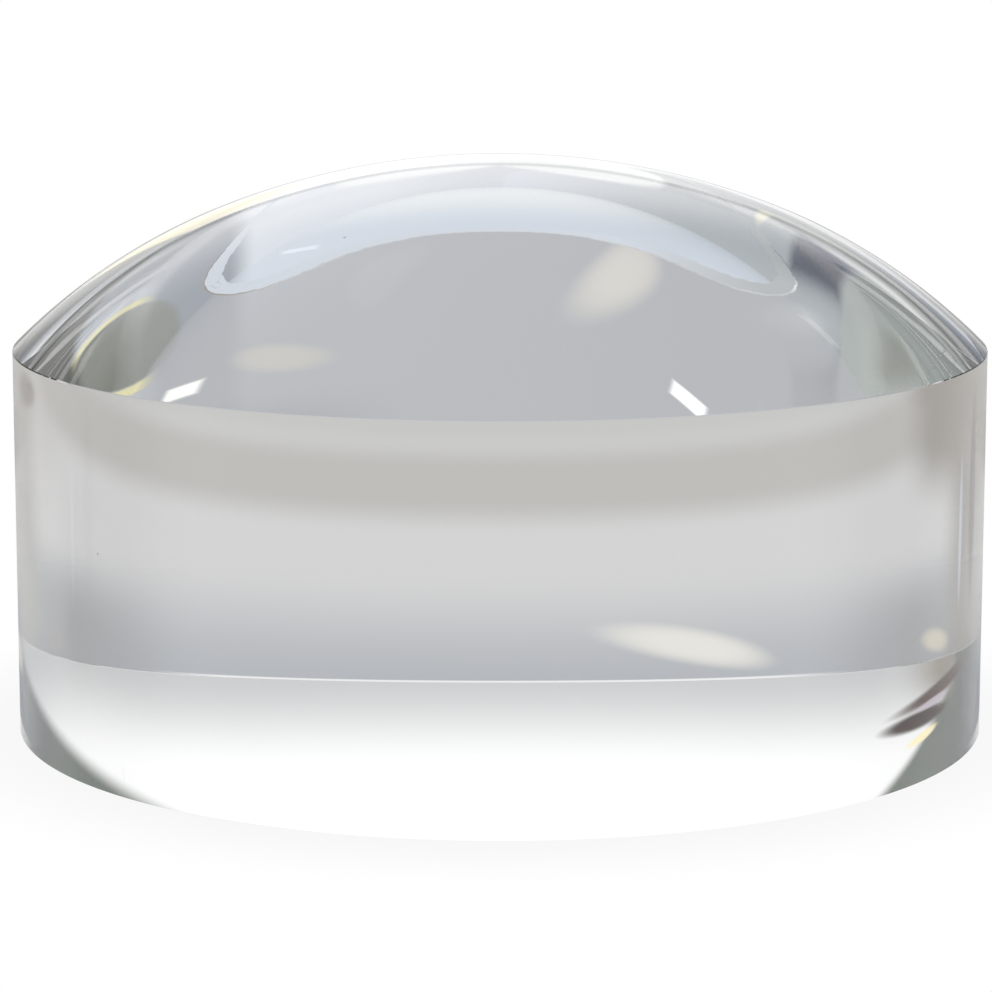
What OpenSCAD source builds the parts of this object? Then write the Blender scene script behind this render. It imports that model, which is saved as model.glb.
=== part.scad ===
// Low vision dome magnifier.
//
// One solid block of clear cast acrylic: a short round column with a polished dome on top.
// It stands on the page with its flat base, and the dome enlarges the print under it.
// The block is the whole object. It has no holder, ring, foot, fastener or moving piece.
//
// Units are millimetres. +Z is up and the origin is the centre of the base.

/* [Body] */
// Diameter of the block
body_d = 80; // [74:0.5:86]
// Height of the straight wall, from the base to the rim
wall_h = 31.5; // [20:0.1:45]

/* [Dome] */
// Radius of the dome's crown, its large middle part
crown_r = 63.75; // [60:0.05:90]
// Distance from the axis at which the crown runs into the tighter shoulder
crown_reach = 22.44; // [16:0.02:32]
// Radius of the shoulder, which carries the dome down to the rim
shoulder_r = 49.75; // [46:0.05:58]

/* [Edges] */
// Width of the small polished bevel between the dome and the wall
rim_bevel = 0.15; // [0.05:0.05:1]
// Width of the small bevel around the base
base_bevel = 0.1; // [0.05:0.05:1]

/* [Hidden] */
// Facets of the preview; the exact solid has true round faces
$fn = 180;

body_r = body_d / 2;

// The crown meets the shoulder where both arcs have the same slope, at this angle from the axis.
// The default sizes make a 44-117-125 triangle here, so the arcs meet exactly, on round numbers.
shoulder_angle = asin(crown_reach / crown_r);
// The shoulder's centre, measured from the crown's, lies on the line to the meeting point.
shoulder_x = (crown_r - shoulder_r) * sin(shoulder_angle);
shoulder_z = (crown_r - shoulder_r) * cos(shoulder_angle);
// Height at which the shoulder reaches the wall, again from the crown's centre
rim_z = shoulder_z + sqrt(pow(shoulder_r, 2) - pow(body_r - shoulder_x, 2));

// Height of the crown's centre above the base
crown_z = wall_h - rim_z;
// Height of the top of the dome above the base
total_h = crown_z + crown_r;
// Slope of the dome where it meets the wall, which sets the angle of the rim bevel
rim_slope = asin((body_r - shoulder_x) / shoulder_r);

// The dome's outline as seen from the side: the crown's arc, then the shoulder's arc tangent to it.
// The crown counts only inside its own wedge, and the shoulder's disc touches the crown from within
// and reaches down past the base, so it fills the column too.
module dome_outline() {
    translate([0, crown_z]) {
        intersection() {
            circle(r = crown_r);
            polygon([
                [0, 0],
                [2 * crown_r * sin(shoulder_angle), 2 * crown_r * cos(shoulder_angle)],
                [0, 2 * crown_r]
            ]);
        }
        translate([shoulder_x, shoulder_z]) circle(r = shoulder_r);
    }
}

// Cuts a corner of the outline. The corner is at the origin, the wall runs along Y, and the line of
// the cut leans by the given angle from the horizontal.
module corner_cut(width, lean) {
    cutter = 4 * width;
    rotate(lean) translate([-cutter, 0]) square([2 * cutter, cutter]);
}

// Half of the block's outline, from the axis to the wall
module block_outline() {
    bevel_lean = -(rim_slope + 90) / 2;
    difference() {
        intersection() {
            square([body_r, total_h]);
            dome_outline();
        }
        translate([body_r, wall_h - rim_bevel]) corner_cut(rim_bevel, bevel_lean);
        translate([body_r, base_bevel]) mirror([0, 1]) corner_cut(base_bevel, -45);
    }
}

module dome_lens() {
    color([0.90, 0.93, 0.93, 0.35]) rotate_extrude() block_outline();
}

dome_lens();
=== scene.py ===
"""Looks of the dome magnifier: one block of clear acrylic on a pale table, in a plain studio.

The block bends the light so strongly that its look is mostly the look of the studio around it.
The studio is therefore drawn with care, as soft gradients: a table, a backdrop, some lamps and a
few dark screens. It turns with the camera, as when the block stands on a turntable. The camera
itself sees only white around the block, and a faint shadow at its foot.
"""

import math

import bmesh
import bpy
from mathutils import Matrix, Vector


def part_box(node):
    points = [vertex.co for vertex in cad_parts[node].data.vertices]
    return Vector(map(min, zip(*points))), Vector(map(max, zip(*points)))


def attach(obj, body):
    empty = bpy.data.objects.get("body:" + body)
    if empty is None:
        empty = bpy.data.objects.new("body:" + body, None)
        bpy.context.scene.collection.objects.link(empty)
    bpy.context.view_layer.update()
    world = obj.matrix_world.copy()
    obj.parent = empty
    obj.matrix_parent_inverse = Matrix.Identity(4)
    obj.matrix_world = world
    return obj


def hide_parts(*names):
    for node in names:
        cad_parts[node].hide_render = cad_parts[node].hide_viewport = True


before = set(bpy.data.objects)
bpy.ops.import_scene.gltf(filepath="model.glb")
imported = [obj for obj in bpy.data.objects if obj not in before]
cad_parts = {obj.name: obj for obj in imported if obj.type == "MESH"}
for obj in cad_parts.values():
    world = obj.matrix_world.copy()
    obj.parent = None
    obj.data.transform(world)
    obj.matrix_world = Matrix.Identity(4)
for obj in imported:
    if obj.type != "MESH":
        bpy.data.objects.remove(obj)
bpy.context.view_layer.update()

MM = 0.001

# The block, in metres. Its diameter and height come from the CAD node.
lens_low, lens_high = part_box("dome_lens")
BODY_R = (lens_high.x - lens_low.x) / 2
TOTAL_H = lens_high.z
WALL_H = 31.5 * MM
CROWN_R = 63.75 * MM
CROWN_REACH = 22.44 * MM
SHOULDER_R = 49.75 * MM
RIM_BEVEL = 0.04 * MM
BASE_BEVEL = 0.01 * MM

# A ring smaller than this is a single point on the axis.
ON_AXIS = 1e-9

# Mesh density
SEGMENTS = 384
CROWN_RINGS = 60
SHOULDER_RINGS = 60
WALL_RINGS = 24
BASE_RINGS = 10

# Refraction. The slope gives the lean of the dome's shading normals at a share r of its radius,
# as a sum of odd powers of r. It is smoother than the two arcs of the outline.
GLASS_IOR = 1.5248
OPTICAL_SLOPE = ((1, 0.56019), (3, 0.14061), (5, 0.29429))

# Camera, on the side of -Y
CAMERA_DISTANCE = 333.0 * MM
CAMERA_ELEVATION = 10.473
CAMERA_ROLL = 0.038
CAMERA_TARGET = Vector((-0.318 * MM, 0.0, 18.626 * MM))
LENS_MM = 145.28
SENSOR_MM = 36.0

TABLE_GAP = 0.03 * MM
TABLE_HALF = 1.5


# ---------------------------------------------------------------- mesh

def shoulder_centre():
    """Centre of the shoulder's arc, from the centre of the crown's arc."""
    lean = math.asin(CROWN_REACH / CROWN_R)
    return (CROWN_R - SHOULDER_R) * math.sin(lean), (CROWN_R - SHOULDER_R) * math.cos(lean)


def arc(centre, radius, start, end, steps):
    """Points of an arc from one angle to another, both measured from +Z."""
    x, z = centre
    angles = [start + (end - start) * i / steps for i in range(steps + 1)]
    return [(x + radius * math.sin(a), z + radius * math.cos(a)) for a in angles]


def block_profile():
    """Radius and height of each ring of the dome, the wall and the base, from the top down.

    The two small bevels are the gaps between these three sections.
    """
    lean = math.asin(CROWN_REACH / CROWN_R)
    offset_x, offset_z = shoulder_centre()
    crown_z = TOTAL_H - CROWN_R
    rim_x = BODY_R - RIM_BEVEL
    rim_lean = math.asin((rim_x - offset_x) / SHOULDER_R)
    crown = arc((0.0, crown_z), CROWN_R, 0.0, lean, CROWN_RINGS)
    shoulder = arc((offset_x, crown_z + offset_z), SHOULDER_R, lean, rim_lean, SHOULDER_RINGS)
    wall_top = WALL_H - RIM_BEVEL
    wall = [
        (BODY_R, wall_top + (BASE_BEVEL - wall_top) * i / WALL_RINGS)
        for i in range(WALL_RINGS + 1)
    ]
    flat_r = BODY_R - BASE_BEVEL
    base = [(flat_r * (1 - i / BASE_RINGS), 0.0) for i in range(BASE_RINGS + 1)]
    return crown + shoulder[1:], wall, base


def lathe(name, sections, segments):
    """A closed body of revolution, from its top to its bottom. Edges between sections stay sharp."""
    mesh = bpy.data.meshes.new(name)
    bm = bmesh.new()
    rings = []
    sharp_rings = []
    for section in sections:
        sharp_rings.append(len(rings))
        for radius, height in section:
            if radius < ON_AXIS:
                rings.append([bm.verts.new((0.0, 0.0, height))])
                continue
            ring = []
            for i in range(segments):
                turn = 2 * math.pi * i / segments
                ring.append(bm.verts.new((radius * math.cos(turn), radius * math.sin(turn), height)))
            rings.append(ring)
        sharp_rings.append(len(rings) - 1)
    for upper, lower in zip(rings, rings[1:]):
        for i in range(segments):
            j = (i + 1) % segments
            if len(upper) == 1:
                bm.faces.new((upper[0], lower[i], lower[j]))
            elif len(lower) == 1:
                bm.faces.new((upper[i], lower[0], upper[j]))
            else:
                bm.faces.new((upper[i], lower[i], lower[j], upper[j]))
    for face in bm.faces:
        face.smooth = True
    for index in sharp_rings[1:-1]:
        ring = rings[index]
        for i, vert in enumerate(ring):
            bm.edges.get((vert, ring[(i + 1) % segments])).smooth = False
    bm.to_mesh(mesh)
    bm.free()
    block = bpy.data.objects.new(name, mesh)
    bpy.context.scene.collection.objects.link(block)
    return block


def polish_dome(block):
    """Gives the dome's faces the smooth optical normals of an aspheric lens."""
    mesh = block.data
    normals = [corner.vector.copy() for corner in mesh.corner_normals]
    for polygon in mesh.polygons:
        centre = polygon.center
        below_rim = centre.z < WALL_H - RIM_BEVEL / 2
        on_bevel = math.hypot(centre.x, centre.y) > BODY_R - RIM_BEVEL
        if below_rim or on_bevel:
            continue
        for index in polygon.loop_indices:
            point = mesh.vertices[mesh.loops[index].vertex_index].co
            share = math.hypot(point.x, point.y) / BODY_R
            slope = sum(factor * share ** power for power, factor in OPTICAL_SLOPE)
            outward = Vector((point.x, point.y, 0.0)).normalized()
            normals[index] = (outward * slope + Vector((0.0, 0.0, 1.0))).normalized()
    mesh.normals_split_custom_set(normals)


# ---------------------------------------------------------------- shader helper

class Shader:
    """Writes a node tree as plain expressions. Values are numbers or sockets."""

    def __init__(self, tree):
        self.tree = tree
        self.tree.nodes.clear()

    def node(self, kind, **settings):
        node = self.tree.nodes.new(kind)
        for key, value in settings.items():
            setattr(node, key, value)
        return node

    def put(self, socket, value):
        if isinstance(value, bpy.types.NodeSocket):
            self.tree.links.new(value, socket)
        else:
            socket.default_value = value

    def math(self, operation, *values):
        node = self.node("ShaderNodeMath", operation=operation)
        for socket, value in zip(node.inputs, values):
            self.put(socket, value)
        return node.outputs[0]

    def step(self, value, low, high):
        """0 below low, 1 above high and smooth between; low may be the larger one."""
        node = self.node("ShaderNodeMapRange", interpolation_type="SMOOTHSTEP", clamp=True)
        if low > high:
            self.put(node.inputs["From Min"], high)
            self.put(node.inputs["From Max"], low)
            self.put(node.inputs["To Min"], 1.0)
            self.put(node.inputs["To Max"], 0.0)
        else:
            self.put(node.inputs["From Min"], low)
            self.put(node.inputs["From Max"], high)
        self.put(node.inputs["Value"], value)
        return node.outputs["Result"]

    def mul(self, *values):
        result = values[0]
        for value in values[1:]:
            result = self.math("MULTIPLY", result, value)
        return result

    def add(self, *values):
        result = values[0]
        for value in values[1:]:
            result = self.math("ADD", result, value)
        return result

    def distance(self, value):
        """How far a value is from zero."""
        return self.math("ABSOLUTE", value)

    def turned(self, x, y, centre, half, turn):
        """Coordinates around a centre, turned by an angle in degrees and measured in half sizes."""
        along = math.cos(math.radians(turn))
        across = math.sin(math.radians(turn))
        dx = self.add(x, -centre[0])
        dy = self.add(y, -centre[1])
        u = self.add(self.mul(dx, along / half[0]), self.mul(dy, across / half[0]))
        v = self.add(self.mul(dx, -across / half[1]), self.mul(dy, along / half[1]))
        return u, v

    def spot(self, x, y, centre, half, turn, blur):
        """1 inside an ellipse, 0 outside, with a soft edge."""
        u, v = self.turned(x, y, centre, half, turn)
        return self.step(self.add(self.mul(u, u), self.mul(v, v)), 1 + blur, 1 - blur)

    def box(self, x, y, centre, half, turn, blur):
        """1 inside a rectangle, 0 outside, with a soft edge."""
        u, v = self.turned(x, y, centre, half, turn)
        return self.step(self.math("MAXIMUM", self.distance(u), self.distance(v)), 1 + blur, 1 - blur)

    def right_of(self, x, y, start, end, blur):
        """1 on the right of the line from start to end, 0 on its left."""
        length = math.hypot(end[0] - start[0], end[1] - start[1])
        a = (end[1] - start[1]) / length
        b = (start[0] - end[0]) / length
        beside = self.add(self.mul(x, a), self.mul(y, b), -(a * start[0] + b * start[1]))
        return self.step(beside, -blur, blur)

    def split(self, vector):
        """The three parts of a vector or a colour."""
        node = self.node("ShaderNodeSeparateXYZ")
        self.put(node.inputs[0], vector)
        return node.outputs

    def direction(self, vector):
        """Azimuth and elevation of a unit vector, in degrees."""
        x, y, z = self.split(vector)
        az = self.mul(self.math("ARCTAN2", x, y), 180 / math.pi)
        el = self.mul(self.math("ARCSINE", z), 180 / math.pi)
        return az, el

    def mix(self, share, below, above):
        """Colour below where share is 0, above where it is 1. Sockets 6 and 7 take the colours."""
        node = self.node("ShaderNodeMix", data_type="RGBA")
        self.put(node.inputs[0], share)
        self.put(node.inputs[6], below)
        self.put(node.inputs[7], above)
        return node.outputs[2]

    def noise(self, vector, scale):
        node = self.node("ShaderNodeTexNoise")
        self.put(node.inputs["Vector"], vector)
        self.put(node.inputs["Scale"], scale)
        return node.outputs[0]


def linear(level):
    """A display brightness from 0 to 255 as linear light."""
    value = level / 255
    return value / 12.92 if value <= 0.04045 else ((value + 0.055) / 1.055) ** 2.4


def tone(red, green, blue):
    """A colour picked on the display, from 0 to 255, as linear light."""
    return (linear(red), linear(green), linear(blue), 1.0)


# ---------------------------------------------------------------- studio

# Directions in the room are azimuth and elevation in degrees. Azimuth 0 is straight behind the
# block, 180 is the camera's own side, and the camera's left hand has negative values. Places on
# the table are in millimetres. A helper that takes a room or a sheet returns it with more on it.

# Slanted shapes near the table are drawn with the elevation stretched this many times, because
# the block squeezes a narrow band of elevations into its lower strip.
UP_SCALE = 20.0

WHITE = (1.05, 1.05, 1.05, 1.0)
LAMP = (1.5, 1.5, 1.5, 1.0)
CREAM_LAMP = (1.8, 1.7, 1.4, 1.0)
YELLOW_LAMP = (1.1, 0.98, 0.62, 1.0)
WARM_LAMP = (1.35, 1.33, 1.25, 1.0)

# What the camera itself sees around the block
PLAIN = (1.0, 1.0, 1.0, 1.0)
SHADOW = tone(247, 247, 247)

# Radius of the block's foot on the table, in millimetres
FOOT_R = BODY_R / MM


def backdrop(s, az, el):
    """The sweep behind the block: grey at the table, white above it, grey again high up."""
    sweep = s.mix(s.step(el, 10.8, 12.3), WHITE, tone(200, 200, 202))
    bend = s.add(el, s.mul(s.step(s.distance(az), 20.0, 55.0), 0.4))
    sweep = s.mix(s.step(bend, 13.0, 14.5), sweep, WHITE)
    sweep = s.mix(s.step(el, 22.0, 36.0), sweep, tone(186, 187, 191))
    dim = s.mul(s.step(az, 6.0, 22.0), s.step(el, 16.0, 18.0), s.step(el, 40.0, 30.0))
    sweep = s.mix(dim, sweep, tone(112, 116, 124))
    dim = s.mul(s.step(az, 10.0, 24.0), s.step(el, 12.0, 9.0))
    sweep = s.mix(dim, sweep, tone(150, 156, 168))
    dim = s.mul(s.step(az, -14.0, -28.0), s.step(el, 12.0, 9.0))
    sweep = s.mix(dim, sweep, tone(112, 108, 98))
    cream = s.box(az, el, (-7.0, 6.2), (5.0, 5.2), 0.0, 0.1)
    return s.mix(cream, sweep, CREAM_LAMP)


def dark_corners(s, az, el, room):
    """The two unlit ends of the backdrop."""
    up = s.mul(el, UP_SCALE)
    low = s.step(el, 17.0, 15.0)
    corner = s.mul(low, s.step(az, 20.0, 30.0), s.right_of(az, up, (74, 258), (40, 290), 2.5))
    shade = s.mix(s.step(az, 50.0, 66.0), tone(104, 112, 106), tone(76, 82, 80))
    room = s.mix(corner, room, shade)
    slope = s.right_of(az, up, (-41, 290), (-53, 270), 1.2)
    corner = s.math("MAXIMUM", slope, s.step(az, -57.0, -61.0))
    corner = s.mul(corner, low, s.step(az, -20.0, -30.0))
    shade = s.mix(s.step(az, -50.0, -66.0), tone(112, 118, 112), tone(78, 82, 78))
    return s.mix(corner, room, shade)


def brown_stand(s, az, el, room):
    """A stand in the left corner: two leaning struts with a pale gap, a yellow lamp and a haze."""
    up = s.mul(el, UP_SCALE)
    haze = s.mul(s.step(az, -40.0, -56.0), s.step(az, -62.0, -58.0), s.step(el, 13.5, 12.9))
    room = s.mix(haze, room, tone(146, 136, 124))
    lamp = s.spot(az, up, (-48.6, 276.4), (5.4, 1.0), 40.0, 0.7)
    room = s.mix(lamp, room, YELLOW_LAMP)
    strut = s.spot(az, up, (-56.0, 260.9), (17.0, 1.7), 35.0, 0.7)
    room = s.mix(strut, room, tone(76, 52, 42))
    strut = s.spot(az, up, (-47.7, 271.6), (10.0, 2.2), 28.0, 0.6)
    room = s.mix(strut, room, tone(54, 34, 30))
    gap = s.spot(az, up, (-52.0, 266.2), (6.0, 0.9), 31.5, 0.8)
    return s.mix(gap, room, tone(196, 186, 196))


def high_lamps(s, az, el, room):
    """Small lamps high behind the block. The dome shows them low on its far side."""
    glow = s.spot(az, el, (25.0, 42.9), (7.0, 1.3), 6.0, 0.9)
    room = s.mix(glow, room, tone(204, 201, 195))
    lamp = s.box(az, el, (40.3, 41.0), (3.9, 0.62), -3.0, 0.35)
    room = s.mix(lamp, room, WARM_LAMP)
    lamp = s.box(az, el, (-17.7, 38.35), (1.6, 0.7), 37.0, 0.3)
    room = s.mix(lamp, room, LAMP)
    glow = s.spot(az, el, (-18.0, 54.0), (11.0, 3.2), -36.0, 0.9)
    return s.mix(glow, room, tone(222, 218, 212))


def camera_side(s, az, el):
    """The room on the camera's side: a bluish wall under a bright ceiling."""
    off = s.distance(az)
    turn = s.mul(s.math("SUBTRACT", 180.0, off), s.math("SIGN", az))
    room = s.mix(s.step(turn, 0.0, 16.0), tone(215, 218, 227), tone(234, 239, 247))
    room = s.mix(s.step(turn, 0.0, -22.0), room, tone(172, 177, 181))
    ceiling = s.add(el, s.mul(s.math("MINIMUM", s.distance(turn), 18.0), 0.094))
    room = s.mix(s.step(ceiling, 9.25, 9.5), room, WHITE)
    room = screen_shown_left(s, az, el, room)
    room = screen_shown_right(s, az, off, el, room)
    return s.mix(s.step(el, 20.0, 40.0), room, tone(190, 190, 190))


def screen_shown_left(s, az, el, room):
    """A grey-green screen with a bright yellow edge, and the dark gap beside it.

    It stands on the camera's right hand, and the dome shows it at its left.
    """
    side = s.mul(s.step(az, 0.0, 20.0), s.step(az, 162.0, 158.0))
    room = s.mix(s.mul(side, s.step(az, 153.5, 150.5)), room, tone(158, 163, 172))
    edge = s.add(el, s.mul(az, -0.2), 21.7)
    screen = s.mul(side, s.step(edge, 0.0, 0.15), s.step(az, 147.5, 145.5))
    face = s.mix(s.step(az, 140.0, 143.5), tone(114, 116, 106), tone(146, 149, 144))
    room = s.mix(screen, room, face)
    pale = s.mul(side, s.step(edge, -0.9, -0.5), s.step(edge, -0.1, -0.2), s.step(az, 145.0, 143.0))
    room = s.mix(pale, room, tone(190, 195, 202))
    yellow = s.mul(side, s.step(s.distance(s.add(edge, 0.04)), 0.15, 0.06), s.step(az, 144.5, 142.5))
    room = s.mix(yellow, room, tone(228, 221, 170))
    gap = s.mul(side, s.right_of(az, el, (138.0, 5.9), (148.6, 0.4), 0.4))
    return s.mix(gap, room, tone(52, 56, 42))


def screen_shown_right(s, az, off, el, room):
    """A pale grey-green screen and, beside it, a dark blue one with a small warm lamp.

    They stand on the camera's left hand, and the dome shows them at its right.
    """
    side = s.step(az, 0.0, -20.0)
    green = s.mul(side, s.step(off, 145.0, 143.6))
    room = s.mix(green, room, tone(172, 178, 174))
    edge = s.add(el, s.mul(off, -0.2))
    foot = s.mul(side, s.step(off, 142.0, 139.5), s.step(edge, -21.6, -21.1))
    room = s.mix(foot, room, tone(146, 149, 140))
    blue = s.mul(side, s.box(off, el, (146.6, 5.9), (2.2, 1.35), 0.0, 0.25))
    face = s.mix(s.step(el, 4.8, 6.6), tone(96, 104, 126), tone(40, 44, 60))
    room = s.mix(blue, room, face)
    lamp = s.mul(side, s.spot(off, el, (152.0, 4.9), (0.55, 1.3), 0.0, 0.9))
    return s.mix(lamp, room, tone(255, 246, 215))


def studio_light(s, az, el):
    """Light that reaches the block from a direction of the room."""
    room = backdrop(s, az, el)
    room = dark_corners(s, az, el, room)
    room = brown_stand(s, az, el, room)
    room = high_lamps(s, az, el, room)
    return s.mix(s.step(s.distance(az), 80.0, 110.0), room, camera_side(s, az, el))


def far_sheet(s, x, y, radius, az, el):
    """The table behind the block, as the straight wall shows it."""
    sheet = far_shade_and_bands(s, x, y, radius, az)
    sheet = far_ends(s, az, el, sheet)
    sheet = far_marks(s, az, el, sheet)
    return s.mix(s.step(s.distance(az), 80.0, 110.0), sheet, WHITE)


def far_shade_and_bands(s, x, y, radius, az):
    """Painted shade darker near the block's foot and beside it, and soft grey bands across the table
    further back, one behind the other.
    """
    # Painted contact shadow: the table darkens towards the block's foot.
    sheet = s.mix(s.step(radius, 36.0, 88.0), tone(172, 175, 181), tone(208, 207, 208))
    band = s.mul(s.step(y, 106.0, 126.0), s.step(y, 172.0, 145.0))
    sheet = s.mix(band, sheet, tone(184, 182, 179))
    sheet = s.mix(s.step(y, 150.0, 172.0), sheet, tone(194, 193, 191))
    sheet = s.mix(s.step(s.distance(x), 60.0, 150.0), sheet, tone(190, 187, 183))
    # Painted shade on the table beside the block.
    beside = s.mul(s.step(s.distance(az), 25.0, 50.0), s.step(radius, 80.0, 48.0))
    return s.mix(beside, sheet, tone(160, 161, 164))


def far_ends(s, az, el, sheet):
    """The darker ends of the table, which show at both sides of the wall."""
    sheet = s.mix(s.step(s.distance(az), 58.0, 72.0), sheet, tone(164, 161, 157))
    sheet = s.mix(s.step(az, -52.0, -64.0), sheet, tone(142, 138, 131))
    dim = s.mul(s.step(az, -40.0, -50.0), s.step(el, -10.7, -9.6))
    return s.mix(dim, sheet, tone(146, 140, 134))


def far_marks(s, az, el, sheet):
    """Two cream glows on the table and three narrow streaks at its ends."""
    glow = s.spot(az, el, (-14.5, -12.6), (6.5, 0.22), 1.4, 0.9)
    sheet = s.mix(glow, sheet, tone(228, 225, 219))
    glow = s.spot(az, el, (-52.0, -12.45), (4.2, 0.15), 0.0, 0.95)
    sheet = s.mix(glow, sheet, tone(208, 200, 184))
    streak = s.spot(az, el, (-69.0, -10.4), (2.2, 1.3), 0.0, 0.9)
    sheet = s.mix(streak, sheet, tone(84, 78, 76))
    streak = s.spot(az, el, (-61.5, -10.9), (0.8, 0.9), 0.0, 0.9)
    sheet = s.mix(streak, sheet, tone(186, 190, 204))
    streak = s.spot(az, el, (69.0, -8.9), (6.0, 0.22), 0.6, 0.9)
    return s.mix(streak, sheet, tone(112, 102, 96))


def painted_light_under_foot(s, az, steep):
    """The table under the block, with painted light: bright where the block gathers light onto it,
    with a few bands for rays of different slope.
    """
    # Painted light: the table under the block is brightest for the steepest rays.
    foot = s.mix(s.step(steep, 0.89, 0.985), tone(214, 222, 234), tone(250, 253, 255))
    band = s.mix(s.step(az, -8.0, -20.0), tone(216, 222, 231), tone(186, 190, 193))
    foot = s.mix(s.step(steep, 0.75, 0.70), foot, band)
    return s.mix(s.step(steep, 0.3, 0.25), foot, tone(235, 235, 235))


def table_light(s, x, y, radius, steep, az, el):
    """Light of the table at a point in millimetres, for a ray that arrives in a given direction."""
    sheet = far_sheet(s, x, y, radius, az, el)
    seen = s.math("MAXIMUM", s.step(steep, 0.3, 0.4), s.step(s.distance(az), 34.0, 20.0))
    under = s.step(radius, FOOT_R + 0.9, FOOT_R + 0.6)
    return s.mix(s.mul(under, seen), sheet, painted_light_under_foot(s, az, steep))


def make_turntable(camera):
    """An empty at the origin that always has the camera's heading."""
    empty = bpy.data.objects.new("studio_heading", None)
    bpy.context.scene.collection.objects.link(empty)
    follow = empty.constraints.new("COPY_ROTATION")
    follow.target = camera
    follow.use_x = False
    follow.use_y = False
    return empty


def make_backdrop(heading):
    """The room as a world shader: plain white to the camera, the studio's light to the block."""
    world = bpy.data.worlds.new("studio")
    bpy.context.scene.world = world
    world.use_nodes = True
    s = Shader(world.node_tree)
    coords = s.node("ShaderNodeTexCoord", object=heading)
    az, el = s.direction(coords.outputs["Object"])
    light = s.node("ShaderNodeBackground")
    s.put(light.inputs["Color"], studio_light(s, az, el))
    seen = s.node("ShaderNodeBackground")
    s.put(seen.inputs["Color"], PLAIN)
    path = s.node("ShaderNodeLightPath")
    choice = s.node("ShaderNodeMixShader")
    s.put(choice.inputs[0], path.outputs["Is Camera Ray"])
    s.put(choice.inputs[1], light.outputs[0])
    s.put(choice.inputs[2], seen.outputs[0])
    out = s.node("ShaderNodeOutputWorld")
    s.put(out.inputs["Surface"], choice.outputs[0])


def make_table(heading):
    """A wide plain table just under the block, which glows like a lit sheet of paper."""
    mesh = bpy.data.meshes.new("table")
    h = TABLE_HALF
    z = -TABLE_GAP
    corners = [(-h, -h, z), (h, -h, z), (h, h, z), (-h, h, z)]
    mesh.from_pydata(corners, [], [(0, 1, 2, 3)])
    table = bpy.data.objects.new("table", mesh)
    bpy.context.scene.collection.objects.link(table)
    table.parent = heading
    mesh.materials.append(sheet_material())


def sheet_material():
    """The table's sheet, an emission painted with the studio's light and shade: gradients to the
    block, white with a faint painted shadow to the camera.
    """
    material = bpy.data.materials.new("table_sheet")
    material.use_nodes = True
    s = Shader(material.node_tree)
    coords = s.node("ShaderNodeTexCoord")
    place = s.split(coords.outputs["Object"])
    x = s.mul(place[0], 1 / MM)
    y = s.mul(place[1], 1 / MM)
    radius = s.math("SQRT", s.add(s.mul(x, x), s.mul(y, y)))
    geometry = s.node("ShaderNodeNewGeometry")
    to_table = s.node("ShaderNodeVectorTransform", vector_type="VECTOR")
    to_table.convert_from = "WORLD"
    to_table.convert_to = "OBJECT"
    s.put(to_table.inputs[0], geometry.outputs["Incoming"])
    flip = s.node("ShaderNodeVectorMath", operation="SCALE")
    s.put(flip.inputs[0], to_table.outputs[0])
    s.put(flip.inputs["Scale"], -1.0)
    az, el = s.direction(flip.outputs[0])
    steep = s.math("SINE", s.mul(el, -math.pi / 180))
    light = table_light(s, x, y, radius, steep, az, el)
    # Painted shadow: to the camera, the table is greyer at the block's foot.
    direct = s.mix(s.step(radius, FOOT_R - 2.0, FOOT_R + 14.0), SHADOW, PLAIN)
    path = s.node("ShaderNodeLightPath")
    glow = s.node("ShaderNodeEmission")
    s.put(glow.inputs["Color"], s.mix(path.outputs["Is Camera Ray"], light, direct))
    out = s.node("ShaderNodeOutputMaterial")
    s.put(out.inputs["Surface"], glow.outputs[0])
    return material


# ---------------------------------------------------------------- material

# Fineness of the patterns, as repeats per metre
TINT_SCALE = 45.0
DUST_SCALE = 420.0
HAIRLINE_SCALE = 260.0
HAIRLINE_PATCH_SCALE = 90.0

CLEAR_COOL = (0.975, 0.990, 0.985, 1.0)
CLEAR_WARM = (0.995, 1.0, 0.995, 1.0)
DUST_COLOUR = (0.30, 0.28, 0.26, 1.0)
HAIRLINE_ROUGHNESS = 0.25


def clear_acrylic():
    """Polished clear acrylic with hairline scratches, specks of dust and a little uneven tint."""
    material = bpy.data.materials.new("clear_acrylic")
    material.use_nodes = True
    s = Shader(material.node_tree)
    coords = s.node("ShaderNodeTexCoord").outputs["Object"]
    tint = s.mix(s.noise(coords, TINT_SCALE), CLEAR_COOL, CLEAR_WARM)
    bsdf = s.node("ShaderNodeBsdfPrincipled")
    s.put(bsdf.inputs["Base Color"], s.mix(specks(s, coords), tint, DUST_COLOUR))
    s.put(bsdf.inputs["Roughness"], s.mul(scratches(s, coords), HAIRLINE_ROUGHNESS))
    s.put(bsdf.inputs["IOR"], GLASS_IOR)
    s.put(bsdf.inputs["Transmission Weight"], 1.0)
    out = s.node("ShaderNodeOutputMaterial")
    s.put(out.inputs["Surface"], bsdf.outputs[0])
    return material


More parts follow.
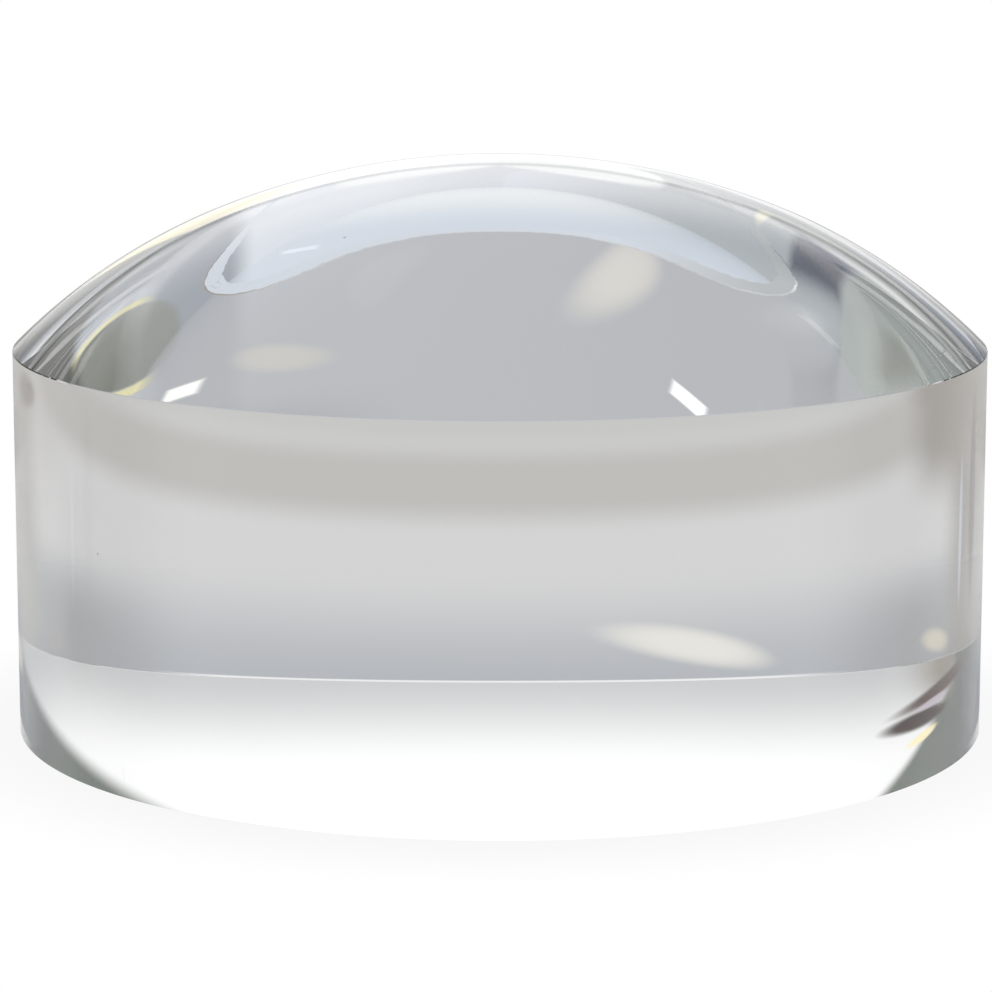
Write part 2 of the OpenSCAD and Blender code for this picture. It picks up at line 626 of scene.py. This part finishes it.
def specks(s, coords):
    """Sparse dust: small dots in a few cells of a fine pattern, most of them on top of the dome."""
    cells = s.node("ShaderNodeTexVoronoi")
    s.put(cells.inputs["Vector"], coords)
    s.put(cells.inputs["Scale"], DUST_SCALE)
    random = s.split(cells.outputs["Color"])
    high = s.step(s.split(coords)[2], WALL_H, TOTAL_H)
    chosen = s.step(s.add(random[0], s.mul(high, 0.04)), 0.97, 0.975)
    radius = s.add(s.mul(random[1], 0.05), 0.03)
    dot = s.step(s.math("SUBTRACT", cells.outputs["Distance"], radius), 0.0, -0.02)
    return s.mul(chosen, dot)


def scratches(s, coords):
    """Short hairlines, where a stretched noise passes through its middle value."""
    stretch = s.node("ShaderNodeMapping")
    s.put(stretch.inputs["Vector"], coords)
    stretch.inputs["Rotation"].default_value = (0.5, 0.35, 0.8)
    stretch.inputs["Scale"].default_value = (1.0, 1.0, 0.12)
    streak = s.noise(stretch.outputs[0], HAIRLINE_SCALE)
    line = s.step(s.distance(s.add(streak, -0.5)), 0.0012, 0.0004)
    patch = s.step(s.noise(coords, HAIRLINE_PATCH_SCALE), 0.64, 0.68)
    return s.mul(line, patch)


# ---------------------------------------------------------------- camera

def make_camera():
    """A camera low in front of the block, with a long lens."""
    data = bpy.data.cameras.new("camera")
    data.lens = LENS_MM
    data.sensor_width = SENSOR_MM
    camera = bpy.data.objects.new("camera", data)
    bpy.context.scene.collection.objects.link(camera)
    lean = math.radians(CAMERA_ELEVATION)
    back = Vector((0.0, -math.cos(lean), math.sin(lean)))
    camera.location = CAMERA_TARGET + back * CAMERA_DISTANCE
    camera.rotation_euler = (math.pi / 2 - lean, 0.0, 0.0)
    camera.rotation_euler.rotate_axis("Z", math.radians(CAMERA_ROLL))
    bpy.context.scene.camera = camera
    return camera


scene = bpy.context.scene
scene.view_settings.view_transform = "Standard"
# Light can reflect many times inside the block before it leaves.
scene.cycles.max_bounces = 24
scene.cycles.transmission_bounces = 24
scene.cycles.glossy_bounces = 16

camera = make_camera()
heading = make_turntable(camera)
make_backdrop(heading)
make_table(heading)

block = lathe("clear_block", block_profile(), SEGMENTS)
polish_dome(block)
block.data.materials.append(clear_acrylic())
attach(block, "root")
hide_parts("dome_lens")
